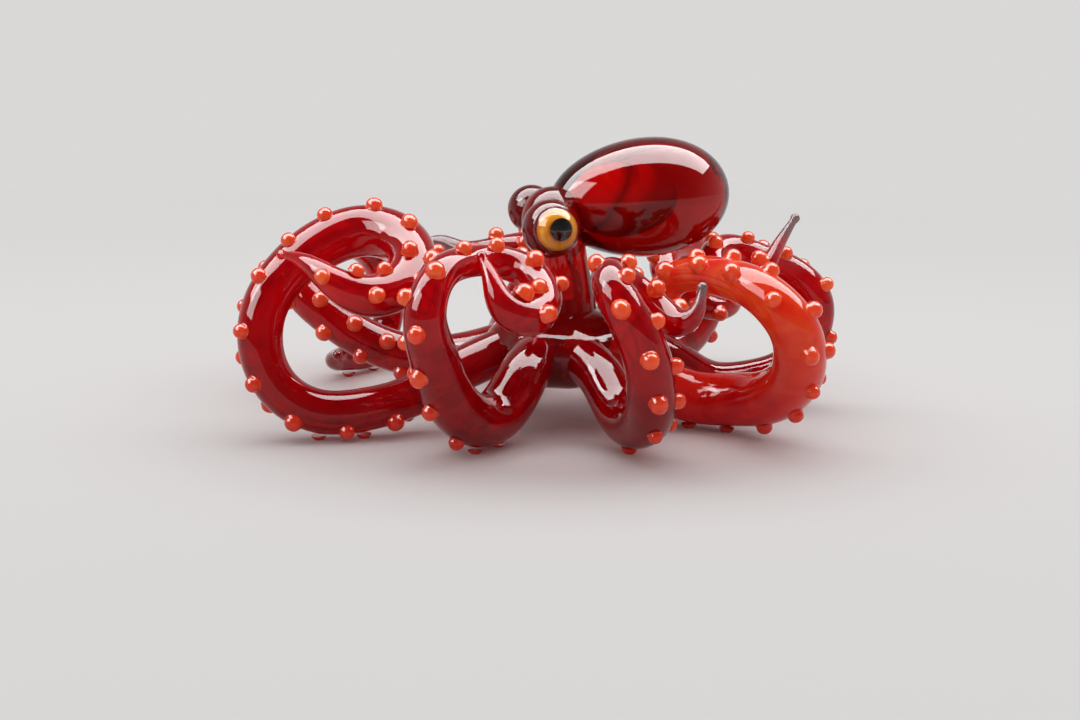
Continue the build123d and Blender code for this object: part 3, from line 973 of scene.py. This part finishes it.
hub_top = HUB_LEVEL + HUB_HALF_HEIGHT
neck_places = np.array((
    (0, 0, HUB_LEVEL, NECK_FOOT_RADIUS),
    (0, 0, hub_top, NECK_FOOT_RADIUS),
    (0, 0, (hub_top + FACE_LEVEL) / 2, NECK_RADIUS),
    ((face_at[0] - middle[0]) / 2, (face_at[1] - middle[1]) / 2, FACE_LEVEL, HEAD_RADIUS),
))
neck_places[:, :3] += middle
neck_rings = rod_rings(spline(neck_places), 0.0)
make_piece("ruby_neck", *capped_ring_mesh(neck_rings), ruby, ["neck"], "ruby_glass")
print("neck made")

# %% [markdown]
# ## The mantle
# The head is an egg of solid ruby glass that leans back from the eyes. It is the clearest piece, so it
# gets a glass of its own. Its outline is a circle's, stretched, with a little more behind its middle.

# %% Make the mantle
MANTLE_TILT = np.radians(4.6)
MANTLE_OVER_FACE = 0.0015
MANTLE_BEHIND_FACE = 0.0012
MANTLE_LENGTH = 0.0244
MANTLE_WIDTH = 0.0157
FULLER_BACK_SHARE = 0.1
MANTLE = FACE @ Matrix.Rotation(MANTLE_TILT, 4, "Y") @ Matrix.Translation((0, 0, MANTLE_OVER_FACE))
# An egg's first and last rings lie this angle, in radians, from its ends.
EGG_END = 0.03


def egg_rings(start, length, width, fuller=0.0, rows=60, columns=72):
    """An egg along minus X from a start: length * (1 - cos t) / 2 along it, and round the axis
    width / 2 * sin t * (1 - fuller * cos t), which makes the far end the thick one."""
    t = np.linspace(EGG_END, np.pi - EGG_END, rows)[:, None]
    a = np.arange(columns) * 2 * np.pi / columns
    along = -start - length * (1 - np.cos(t)) / 2
    radius = width / 2 * np.sin(t) * (1 - fuller * np.cos(t))
    return np.stack(np.broadcast_arrays(along, radius * np.cos(a), -radius * np.sin(a)), -1)


mantle_egg = moved(egg_rings(MANTLE_BEHIND_FACE, MANTLE_LENGTH, MANTLE_WIDTH, FULLER_BACK_SHARE), MANTLE)
clear_ruby = glass(
    "clear_ruby",
    ((0.86, 0.010, 0.020), (0.96, 0.040, 0.030)),
    density=RUBY_DENSITY,
    colour=(0.92, 0.35, 0.12),
    clear_share=0.96,
)
make_piece("ruby_mantle", *capped_ring_mesh(mantle_egg), clear_ruby, ["mantle"], "ruby_glass")
print("mantle made")

# %% [markdown]
# ## The lump of colour in the mantle
# Inside the mantle is a lump of denser red, where the first gather was rolled in colour. Its bands run
# across it on a slant, a bright orange swirl in front and dark red behind. The bright orange is painted
# glow, which stands in for light that the mantle bends into the lump, and its darker lower half is
# painted shade. The lump hardly bends light, because it lies in glass that is as dense as itself, and it
# has no shine of its own.

# %% Make the core
CORE_BEHIND_FACE = 0.0046
CORE_LENGTH = 0.0130
CORE_WIDTH = 0.0070
CORE_DENSITY = 200.0
CORE_COLOUR = (0.96, 0.30, 0.10)
SWIRL_CLOUDS = (260.0, 1.0, 0.8)
BAND_SLANT = -0.8
BAND_SWIRL = 0.12
# Colours from the face backwards, where 1 is the core's far end. The bright orange ones are painted glow.
BANDS_AND_PAINTED_GLOW = [
    (0.28, (0.80, 0.02, 0.01)),
    (0.40, (1.0, 0.24, 0.07)),
    (0.52, (1.0, 0.10, 0.04)),
    (0.58, (0.36, 0.0, 0.006)),
    (0.66, (0.90, 0.02, 0.03)),
    (0.74, (0.88, 0.02, 0.03)),
    (0.82, (0.58, 0.0, 0.010)),
]
# Painted shade: the core's lower half is multiplied darker than its upper half.
SHADED_LOWER_HALF, UNSHADED_UPPER_HALF = (0.66, 0.5, 0.5), (1.0, 1.0, 1.0)

core_glass, core_tree, core_shader = glass_body(
    "red_core", CORE_DENSITY, CORE_COLOUR, clear_share=0.08, ior=1.01, gloss=0.0)
core_reach = CORE_BEHIND_FACE + CORE_LENGTH
in_core = placed(core_tree, MANTLE, (-core_reach, core_reach, core_reach))
along_core, _, above_core = split(core_tree, in_core)
slant = maths(core_tree, "MULTIPLY_ADD", above_core, BAND_SLANT, along_core)
swirl = maths(core_tree, "MULTIPLY_ADD", noise(core_tree, *SWIRL_CLOUDS), BAND_SWIRL, slant)
# The bands carry painted glow, and the lower half gets painted shade.
painted_shade_halves = ramp(core_tree, above_core, [(0.0, SHADED_LOWER_HALF), (0.03, UNSHADED_UPPER_HALF)])
banded_with_painted_light = blend(core_tree, 1.0, ramp(core_tree, swirl, BANDS_AND_PAINTED_GLOW), painted_shade_halves, "MULTIPLY")
feed(core_tree, core_shader, {"Base Color": banded_with_painted_light})
core_egg = moved(egg_rings(CORE_BEHIND_FACE, CORE_LENGTH, CORE_WIDTH, rows=30, columns=40), MANTLE)
make_piece("red_core_lump", *capped_ring_mesh(core_egg), core_glass, ["mantle_core"], "red_core")
print("core made")

# %% [markdown]
# ## The glasses of the eyes
# An eye is built up in layers: a mound of ruby, a dab of amber pressed flat, a dot of black on it, and a
# drop of clear glass over both, which magnifies them. The iris is dark round the pupil and yellow
# towards its rim, with fine rays, so its colour is worked out from the distance to the eye's own axis.

# %% Mix the glasses of the eye
BLACK_CLOUDS = 800.0
RAYS = (1400.0, 2.0)
RAY_SHARE = 0.16
# Colours from the pupil, at about half of the iris's radius, to its rim.
AMBERS = [
    (0.52, (0.22, 0.05, 0.004)),
    (0.66, (0.85, 0.29, 0.010)),
    (0.92, (0.98, 0.46, 0.025)),
    (1.0, (0.85, 0.28, 0.012)),
]

black, black_tree, black_shader, _ = new_material("black_glass")
black_clouds = noise(black_tree, BLACK_CLOUDS)
blacks = ramp(black_tree, black_clouds, [(0.3, (0.006, 0.005, 0.005)), (0.8, (0.02, 0.016, 0.014))])
feed(black_tree, black_shader, {"Base Color": blacks, "Roughness": 0.06})
clear = glass(
    "clear_glass",
    ((0.98, 0.98, 0.98), (1.0, 1.0, 1.0)),
    density=5.0,
    colour=(0.9, 0.9, 0.9),
    clear_share=1.0,
    ior=1.45,
    wave_height=0.00001,
)


def amber_glass(name, eye, edge):
    """Amber with a darker ring round the pupil and fine rays, both measured from the eye's own axis."""
    material, tree, shader, _ = new_material(name)
    own = placed(tree, eye)
    flat = tree.nodes.new("ShaderNodeVectorMath")
    flat.operation = "MULTIPLY"
    feed(tree, flat, {0: own, 1: (1.0, 1.0, 0.0)})
    share = maths(tree, "DIVIDE", length(tree, flat.outputs["Vector"]), edge)
    rays = noise(tree, *RAYS, at=own)
    mixed = maths(tree, "MULTIPLY_ADD", rays, RAY_SHARE, share)
    feed(tree, shader, {"Base Color": ramp(tree, mixed, AMBERS), "Roughness": 0.15})
    return material


print("glasses of the eye are ready")

# %% [markdown]
# ## The eyes
# The colours lie on the mound as thin round shells, each just proud of the one below. The clear drop
# bulges more than the mound. Both eyes are made at one size by one loop, and the far one is shrunk.

# %% Shape the layers of an eye
MOUND = 0.0038
CORNEA = 0.0030
CORNEA_CURVE = 0.0032
# The first ring of a round shell, as a share of its reach.
FIRST_RING = 0.04
# The clear drop reaches this far into the mound, and is nowhere thinner than this.
DROP_DEPTH = 0.0002
DROP_LEAST = 0.00001


def cap_rings(outer, inner, edge, rows=14, columns=48):
    """A thin round shell on a ball: rings from near the axis to the edge on the outer radius, and back
    on the inner one. A ring at distance d from the axis is at height sqrt(radius^2 - d^2)."""
    reach = np.linspace(FIRST_RING, 1.0, rows) * edge
    across = np.concatenate((reach, reach[::-1]))[:, None]
    radius = np.concatenate((np.full(rows, outer), np.full(rows, inner)))[:, None]
    a = -np.arange(columns) * 2 * np.pi / columns
    level = np.sqrt(radius**2 - across**2)
    return np.stack(np.broadcast_arrays(across * np.cos(a), across * np.sin(a), level), -1)


def cornea_rings(rows=16, columns=48):
    """The same for the clear drop, whose outer side is a steeper ball that meets the mound at its edge.
    Its underside lies in the mound, so that nothing but glass is between the colours and the eye."""
    reach = np.linspace(FIRST_RING, 1.0, rows) * CORNEA
    base = np.sqrt(MOUND**2 - CORNEA**2) - np.sqrt(CORNEA_CURVE**2 - CORNEA**2)
    top = base + np.sqrt(CORNEA_CURVE**2 - reach**2)
    under = np.minimum(np.sqrt(MOUND**2 - reach**2) - DROP_DEPTH, top - DROP_LEAST)
    a = -np.arange(columns) * 2 * np.pi / columns
    across = np.concatenate((reach, reach[::-1]))[:, None]
    level = np.concatenate((top, under[::-1]))[:, None]
    return np.stack(np.broadcast_arrays(across * np.cos(a), across * np.sin(a), level), -1)


# %% Make the eyes
EYE_SPACING = 0.0102
EYE_UP_TURN = 11.0
IRIS = 0.0026
PUPIL = 0.0014
DOT_THICKNESS = 0.00015
IRIS_DEPTH = 0.00005
PUPIL_SEAT_SHARE = 0.8
FAR_EYE_SHARE = 0.84
# The black dots sit a little off the middle of the irises, back and up, which gives the octopus a glance.
GLANCE_BACK = 4.5
GLANCE_UP = 2.0


def turned(degrees, axis):
    """A turn about an axis, as a 4 x 4 matrix."""
    return Matrix.Rotation(np.radians(degrees), 4, axis)


for side, hand, share in (("near", 1, 1.0), ("far", -1, FAR_EYE_SHARE)):
    outward = turned(hand * 90.0, "Z") @ turned(90.0 - EYE_UP_TURN, "Y")
    eye = FACE @ Matrix.Translation((0, hand * EYE_SPACING / 2, 0)) @ outward
    glance = eye @ turned(-hand * GLANCE_BACK, "X") @ turned(-GLANCE_UP, "Y")
    ball = egg_rings(-MOUND, 2 * MOUND, 2 * MOUND, rows=40, columns=56)
    iris = cap_rings(MOUND + DOT_THICKNESS, MOUND - IRIS_DEPTH, IRIS)
    pupil = cap_rings(MOUND + 2 * DOT_THICKNESS, MOUND + PUPIL_SEAT_SHARE * DOT_THICKNESS, PUPIL)
    amber = amber_glass(f"{side}_amber", eye, share * IRIS)
    for name, rings, matrix, material, node, slot in (
        ("eye_ball", ball, eye, ruby, "eye_mound", "ruby_glass"),
        ("amber_ring", iris, eye, amber, "iris", "amber_glass"),
        ("black_dot", pupil, glance, black, "pupil", "black_glass"),
        ("clear_drop", cornea_rings(), eye, clear, "cornea", "clear_glass"),
    ):
        mesh = capped_ring_mesh(moved(share * rings, matrix))
        make_piece(f"{side}_{name}", *mesh, material, [f"{side}_{node}"], slot)
print("eyes made")
